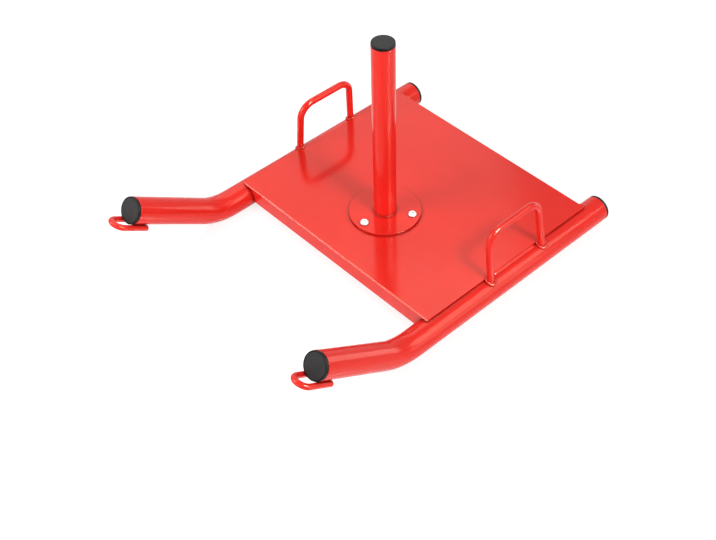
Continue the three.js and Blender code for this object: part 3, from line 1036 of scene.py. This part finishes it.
class SLED_OT_post(Making, bpy.types.Operator):
    """Makes the post's tube and its round foot plate"""

    bl_idname = "sled.make_post"
    bl_label = "Post"

    def execute(self, context):
        own = settings("post")
        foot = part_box("post_tube")[0].z
        add_ring(own.diameter / 2, own.sides, post_axis() + UP * foot, UP)
        extrude(UP * (post_top() - foot))
        tube = close_mesh(fill=False)
        give_wall(tube, own.wall)
        soften_edges(tube, own.edge_break)
        finish_piece(tube, "post_pipe", "post_tube")

        low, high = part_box("post_flange")
        bottom = post_axis() + UP * low.z
        top = post_axis() + UP * high.z
        plate = add_cylinder((high.x - low.x) / 2, bottom, top, own.foot_sides)
        soften_edges(plate, own.edge_break)
        combine(plate, hole_tools("post_flange"))
        finish_piece(plate, "foot_plate", "post_flange")
        return {"FINISHED"}


# How much further each screw and each nut is turned, in radians
SCREW_TURN, NUT_TURN = 0.9, 0.4
# Shares of the half width that a head's flat top and a nut's round face take, and of a nut's
# corners that are turned down
HEAD_FLAT, NUT_FACE, NUT_TURNED_DOWN = 0.6, 0.96, 0.7


def place_at_screws(blank, height, name, node, first_turn=0.0, turn_step=0.0):
    """Puts a copy at each screw, each turned a step further, and uses up the blank."""
    for i, place in enumerate(screw_places(), 1):
        turn = Quaternion(UP, first_turn + i * turn_step)
        piece = copy_of(blank, (place.x, place.y, height), turn)
        finish_piece(piece, f"{name}_{i}", f"{node}_{i}", ZINC)
    discard(blank)


def hexagon(width, low, high):
    """A six sided bar along the Z axis, given by the distance across its flats."""
    return add_cylinder(width / 2 / math.cos(math.pi / 6), (0, 0, low), (0, 0, high), 6)


class SLED_OT_screws(Making, bpy.types.Operator):
    """Turns the button head screws and cuts their hexagon sockets"""

    bl_idname = "sled.make_screws"
    bl_label = "Screws"

    def execute(self, context):
        own = settings("screw")
        low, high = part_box("flange_bolt_1")
        seat = high.z - own.head_height
        profile = self.shank(own, seat - low.z) + self.head(own)
        turned(profile, own.sides)
        screw = close_mesh()
        floor = own.head_height - own.socket_depth
        combine(screw, [hexagon(own.socket_width, floor, own.head_height * 2)])
        soften_edges(screw, own.edge_break, segments=2)
        place_at_screws(screw, seat, "button_screw", "flange_bolt", turn_step=SCREW_TURN)
        return {"FINISHED"}

    @staticmethod
    def shank(own, reach, crest=(0.45, 0.55)):
        """Profile of the thread, whose ridges have a narrow flat crest."""
        radius = own.diameter / 2
        core = radius - own.thread_depth
        height = -reach + own.thread_depth
        profile = [(core - own.thread_depth, -reach), (core, height)]
        for _ in range(int((reach - 2 * own.thread_pitch) / own.thread_pitch)):
            profile += [(radius, height + own.thread_pitch * part) for part in crest]
            profile.append((core, height + own.thread_pitch))
            height += own.thread_pitch
        return profile + [(radius, height + own.thread_depth), (radius, 0.0)]

    @staticmethod
    def head(own, steps=10):
        """Profile of the domed head."""
        head = own.head_diameter / 2
        edge = own.head_rim / 3
        face = head * HEAD_FLAT
        rise = own.head_height - own.head_rim
        profile = [(head - edge, 0.0), (head, edge), (head, own.head_rim)]
        for i in range(1, steps + 1):
            turn = math.pi / 2 * i / steps
            out = face + (head - face) * math.cos(turn)
            profile.append((out, own.head_rim + rise * math.sin(turn)))
        return profile


class SLED_OT_washers(Making, bpy.types.Operator):
    """Turns the washers under the deck"""

    bl_idname = "sled.make_washers"
    bl_label = "Washers"

    def execute(self, context):
        own = settings("screw")
        outer = own.washer_diameter / 2
        bore = (own.diameter + own.bore_clearance) / 2
        thick = own.washer_thickness
        edge = thick / 8
        under = [(bore, 0.0), (outer - edge, 0.0), (outer, edge)]
        above = [(outer, thick - edge), (outer - edge, thick), (bore, thick)]
        turned([*under, *above, under[0]], own.sides)
        washer = close_mesh(fill=False)
        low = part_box("flange_washer_1")[0].z
        place_at_screws(washer, low, "plain_washer", "flange_washer")
        return {"FINISHED"}


class SLED_OT_nuts(Making, bpy.types.Operator):
    """Cuts the hexagon nuts, their corners turned down at both faces"""

    bl_idname = "sled.make_nuts"
    bl_label = "Nuts"

    def execute(self, context):
        own = settings("screw")
        flat = own.nut_width / 2
        corner = flat / math.cos(math.pi / 6)
        high = own.nut_height
        down = (corner - flat) * NUT_TURNED_DOWN
        face = flat * NUT_FACE
        nut = hexagon(own.nut_width, 0, high)
        turned([(face, 0.0), (corner, down), (corner, high - down), (face, high)], own.sides)
        combine(nut, [close_mesh()], "INTERSECT")
        bore = own.diameter / 2 + SNUG_GAP
        combine(nut, [add_cylinder(bore, (0, 0, -high), (0, 0, 2 * high), own.sides)])
        soften_edges(nut, own.nut_edge_break, segments=2, least_angle=50)
        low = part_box("flange_nut_1")[0].z
        place_at_screws(nut, low, "hexagon_nut", "flange_nut", math.pi / 6, NUT_TURN)
        return {"FINISHED"}


class SLED_OT_handles(Making, bpy.types.Operator):
    """Bends the two handles and fits their feet to the runners"""

    bl_idname = "sled.make_handles"
    bl_label = "Handles"

    def execute(self, context):
        own = settings("handle")
        bent_bar(handle_corners(), own.bend_radius, own)
        rod = close_mesh()
        combine(rod, [runner_tool()])
        finish_pair(rod, "handle_rod", "handle")
        return {"FINISHED"}


class SLED_OT_tow_loops(Making, bpy.types.Operator):
    """Bends the two tow loops under the tips"""

    bl_idname = "sled.make_tow_loops"
    bl_label = "Tow loops"

    def execute(self, context):
        own = settings("loop")
        heading = tip_heading()
        _, _, tip = runner_corners()
        half, drop = loop_branches()
        ends = ((1, -own.overlap), (1, own.reach), (-1, own.reach), (-1, -own.overlap))
        corners = [
            tip + ALONG_X * side * half + tip_down() * drop + heading * along
            for side, along in ends
        ]
        bent_bar(corners, half, own)
        rod = close_mesh()
        soften_edges(rod, own.end_radius)
        finish_pair(rod, "tow_rod", "tow_loop")
        return {"FINISHED"}


class SLED_OT_post_bead(Making, bpy.types.Operator):
    """Lays the weld bead between the post and its foot plate"""

    bl_idname = "sled.make_post_bead"
    bl_label = "Post bead"

    def execute(self, context):
        own, post = settings("weld"), settings("post")
        wall = post.diameter / 2 + SEAT_GAP / 2
        seat = own.post_radius * POST_OFFSET
        ring_bead(own.post_radius, wall + seat)
        flatten(lambda place: place.z < -seat, -seat, 2)
        foot = post_axis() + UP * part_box("post_tube")[0].z
        bead = put(close_mesh(fill=False), foot + UP * seat)
        combine(bead, [add_cylinder(wall, foot - UP * seat, foot + UP * post.diameter)])
        finish_piece(bead, "post_bead", "post_weld", weigh=False)
        return {"FINISHED"}


class SLED_OT_handle_beads(Making, bpy.types.Operator):
    """Lays a collar of weld round each foot of the handles"""

    bl_idname = "sled.make_handle_beads"
    bl_label = "Handle beads"

    def execute(self, context):
        front_foot, front_top, rear_top, rear_foot = handle_corners()
        legs = (("front", front_foot, front_top), ("rear", rear_foot, rear_top))
        for end, foot, top in legs:
            bead = self.collar(foot, top)
            finish_pair(bead, f"{end}_collar", f"handle_{end}_weld", weigh=False)
        return {"FINISHED"}

    @staticmethod
    def collar(foot, top):
        """A ring of weld that steps from the deck down to the runner's outer side."""
        rod_radius = settings("handle").diameter / 2
        deck_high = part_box("deck_plate")[1]
        centre = runner_centre()
        heading = (top - foot).normalized()
        outer_x = deck_high.x + 2 * rod_radius - centre.x
        outer_z = centre.z + math.sqrt((settings("runner").diameter / 2) ** 2 - outer_x**2)
        fall = math.atan2(deck_high.z - outer_z, outer_x)
        height = (deck_high.z + outer_z) / 2
        place = foot + heading * ((height - foot.z) / heading.z)
        ring_bead(settings("weld").collar_radius, rod_radius)
        bead = close_mesh(fill=False)
        bead.scale.x = 1 / math.cos(fall)
        put(bead, place, UP.rotation_difference(heading) @ Quaternion(ALONG_Y, fall))
        reach = 4 * rod_radius
        leg = rod_radius + SNUG_GAP
        leg_tool = add_cylinder(leg, foot - heading * reach, foot + heading * 3 * reach)
        combine(bead, [runner_tool(SNUG_GAP), leg_tool, deck_tool(place.y, place.y, reach)])
        return bead


class SLED_OT_deck_beads(Making, bpy.types.Operator):
    """Lays the beads along the deck's sides and behind its rear corners"""

    bl_idname = "sled.make_deck_beads"
    bl_label = "Deck beads"

    def execute(self, context):
        own = settings("weld")
        deck_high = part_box("deck_plate")[1]
        low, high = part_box("right_deck_weld")
        seat = deck_high.x - own.deck_radius * DECK_INSET
        height = deck_high.z - own.deck_radius - SNUG_GAP
        straight_bead(own.deck_radius, (seat, low.y, height), (seat, high.y, height))
        bead = close_mesh()
        combine(bead, [deck_tool(low.y, high.y, own.deck_radius * 2), runner_tool(SNUG_GAP)])
        finish_pair(bead, "side_bead", "deck_weld", weigh=False)

        centre_x = middle("right_corner_weld").x
        half = own.corner_length / 2
        rear = deck_high.y + SEAT_GAP / 2
        back = rear + own.corner_radius * CORNER_OFFSET
        height = deck_high.z - own.corner_radius * CORNER_DROP
        ends = [(x, back, height) for x in (centre_x - half, centre_x + half)]
        straight_bead(own.corner_radius, *ends)
        flatten(lambda place: place.y < rear, rear, 1)
        bead = close_mesh()
        combine(bead, [runner_tool(SNUG_GAP)])
        finish_pair(bead, "corner_bead", "corner_weld", weigh=False)
        return {"FINISHED"}


class SLED_OT_loop_beads(Making, bpy.types.Operator):
    """Lays the beads between the tow loops' branches and the tips"""

    bl_idname = "sled.make_loop_beads"
    bl_label = "Loop beads"

    def execute(self, context):
        for number, branch in ((1, -1), (2, 1)):
            bead = self.branch_bead(branch)
            pair = zip(SIDES, (bead, mirrored(bead)), (number, 3 - number))
            for side, piece, at in pair:
                name, node = f"{side}_loop_bead_{at}", f"{side}_loop_weld_{at}"
                finish_piece(piece, name, node, weigh=False)
        return {"FINISHED"}

    @staticmethod
    def branch_bead(branch):
        """The bead in the inner valley between the right tip and one branch."""
        own, loop = settings("weld"), settings("loop")
        heading = tip_heading()
        _, _, tip = runner_corners()
        half, drop = loop_branches()
        tube_radius = settings("runner").diameter / 2
        margin = own.loop_radius / 2
        rod = ALONG_X * branch * half + tip_down() * drop
        contact = rod.normalized() * (tube_radius + SEAT_GAP / 2)
        along_skin = contact.cross(heading).normalized()
        if along_skin.x * branch > 0:
            along_skin.negate()
        valley = tip + contact + along_skin * own.loop_radius * LOOP_OFFSET
        start = valley - heading * (loop.overlap - margin)
        straight_bead(own.loop_radius, start, valley - heading * margin)
        bead = close_mesh()
        far = heading * loop.overlap * 1.5
        sizes = ((tip, tube_radius), (tip + rod, loop.diameter / 2))
        combine(bead, [add_cylinder(r + SNUG_GAP, at - far, at + far) for at, r in sizes])
        return bead


# Stage

LAMP_TONE = (1.0, 0.97, 0.93)
# Name, azimuth and elevation in degrees, distance, width and height in metres, power in
# watts, and whether the lamp is a card that only reflections show
LAMPS = (
    ("right_lamp", 90, 52, 6.0, 1.1, 1.1, 152, False),
    ("left_lamp", -22, 45, 2.0, 0.8, 0.8, 17, False),
    ("side_lamp", 112, 10, 3.2, 1.6, 1.6, 21, False),
    ("front_lamp", 4, 10, 3.2, 1.6, 1.6, 28, False),
    ("rear_lamp", 228, 62, 3.0, 1.6, 1.6, 12, False),
    ("sheen_card", 238, 42, 3.0, 2.2, 2.4, 27, True),
    ("strip_card", 98.4, 42, 3.2, 1.2, 1.8, 480, True),
    ("tube_card", 124, 38, 3.2, 1.6, 1.6, 46, True),
    ("edge_card", -37, 28, 3.2, 1.4, 1.2, 80, True),
    ("tip_card", 162, 7, 3.2, 1.6, 0.7, 12, True),
)


def seen_directly(tree):
    """A factor that is one for the camera's rays and for reflections of the background."""
    path = add_node(tree, "ShaderNodeLightPath")
    total = path.outputs["Is Camera Ray"]
    for name in ("Is Glossy Ray", "Is Transmission Ray"):
        total = join(tree, "ShaderNodeMath", total, path.outputs[name], operation="MAXIMUM")
    return total


def direction(azimuth, elevation):
    """Points from the sled's middle to a place round it, with azimuth zero in front."""
    flat = math.cos(elevation)
    return Vector((math.sin(azimuth) * flat, -math.cos(azimuth) * flat, math.sin(elevation)))


class SLED_OT_stage(Making, bpy.types.Operator):
    """Sets up the floor, the lamps and the camera"""

    bl_idname = "sled.make_stage"
    bl_label = "Stage"

    def execute(self, context):
        own = settings("stage")
        self.make_floor(own)
        self.make_world(context.scene, own)
        for lamp in LAMPS:
            self.make_lamp(*lamp)
        self.make_camera(context.scene, own)
        context.scene.view_settings.view_transform = "Standard"
        return {"FINISHED"}

    @staticmethod
    def make_floor(own):
        deselect()
        bpy.ops.mesh.primitive_plane_add(size=own.floor_size, location=(0, 0, -FLOOR_GAP))
        bpy.ops.object.transform_apply()
        floor = bpy.context.object
        floor.name = "floor"
        material = bpy.data.materials.new("pale_floor")
        material.use_nodes = True
        tree = material.node_tree
        tree.nodes.clear()
        seen = seen_directly(tree)
        tone = spread(tree, seen, own.floor_tone, own.seen_tone)
        light = spread(tree, seen, 0.0, own.floor_glow)
        mirror = add_node(
            tree,
            "ShaderNodeBsdfGlossy",
            Color=(*(own.floor_gloss,) * 3, 1.0),
            Roughness=own.floor_blur,
        )
        matt = add_node(tree, "ShaderNodeBsdfDiffuse", Color=tone)
        glow = add_node(tree, "ShaderNodeEmission", Strength=light)
        total = mirror.outputs[0]
        for part in (matt, glow):
            total = join(tree, "ShaderNodeAddShader", total, part.outputs[0])
        add_node(tree, "ShaderNodeOutputMaterial", Surface=total)
        floor.data.materials.append(material)

    @staticmethod
    def make_world(scene, own):
        world = bpy.data.worlds.new("studio")
        world.use_nodes = True
        tree = world.node_tree
        strength = spread(tree, seen_directly(tree), own.world_light, 1.0)
        fill_in(tree, tree.nodes["Background"], Color=(1, 1, 1, 1), Strength=strength)
        scene.world = world

    @staticmethod
    def make_lamp(name, azimuth, elevation, distance, width, height, watts, sheen_only):
        back = direction(radians(azimuth), radians(elevation))
        bpy.ops.object.light_add(
            type="AREA", location=back * distance, rotation=turn_to(back).to_euler()
        )
        lamp = bpy.context.object
        lamp.name = name
        lamp.data.shape = "RECTANGLE"
        lamp.data.size, lamp.data.size_y = width, height
        lamp.data.energy = watts
        lamp.data.color = LAMP_TONE
        lamp.visible_camera = False
        lamp.visible_diffuse = not sheen_only

    @staticmethod
    def make_camera(scene, own):
        back = direction(own.azimuth, own.elevation)
        right = Vector((math.cos(own.azimuth), math.sin(own.azimuth), 0))
        above = back.cross(right)
        aim = post_axis() + UP * own.aim_height - right * own.aim_left - above * own.aim_down
        tilted_right = right * math.cos(own.roll) + above * math.sin(own.roll)
        tilted_up = above * math.cos(own.roll) - right * math.sin(own.roll)
        bpy.ops.object.camera_add()
        camera = bpy.context.object
        camera.name = "camera"
        camera.data.sensor_fit = "HORIZONTAL"
        camera.data.sensor_width = 36
        camera.data.lens = own.focal
        camera.data.clip_start, camera.data.clip_end = 0.05, 100
        turn = Matrix((tilted_right, tilted_up, back)).transposed().to_4x4()
        camera.matrix_world = Matrix.Translation(aim + back * own.distance) @ turn
        scene.camera = camera


OPERATORS = (
    SLED_OT_stage,
    SLED_OT_runners,
    SLED_OT_plugs,
    SLED_OT_deck,
    SLED_OT_crossbars,
    SLED_OT_post,
    SLED_OT_screws,
    SLED_OT_washers,
    SLED_OT_nuts,
    SLED_OT_handles,
    SLED_OT_tow_loops,
    SLED_OT_post_bead,
    SLED_OT_handle_beads,
    SLED_OT_deck_beads,
    SLED_OT_loop_beads,
)


class SLED_PT_pieces(bpy.types.Panel):
    """Lists the sled's pieces and its stage"""

    bl_idname = "SLED_PT_pieces"
    bl_label = "Drag sled"
    bl_space_type = "VIEW_3D"
    bl_region_type = "UI"
    bl_category = "Sled"

    def draw(self, context):
        column = self.layout.column(align=True)
        for operator in OPERATORS:
            column.operator(operator.bl_idname)
        for group in GROUPS:
            box = self.layout.box()
            own = getattr(context.scene, group)
            box.label(text=type(own).__doc__)
            for name in own.bl_rna.properties.keys():
                if name not in {"rna_type", "name"}:
                    box.prop(own, name)


CLASSES = (*GROUPS.values(), *OPERATORS, SLED_PT_pieces)


def register():
    for item in CLASSES:
        bpy.utils.register_class(item)
    for name, group in GROUPS.items():
        setattr(bpy.types.Scene, name, PointerProperty(type=group))


def unregister():
    for name in GROUPS:
        delattr(bpy.types.Scene, name)
    for item in reversed(CLASSES):
        bpy.utils.unregister_class(item)


def main():
    register()
    for operator in OPERATORS:
        family, name = operator.bl_idname.split(".")
        getattr(getattr(bpy.ops, family), name)()


if __name__ == "__main__":
    main()
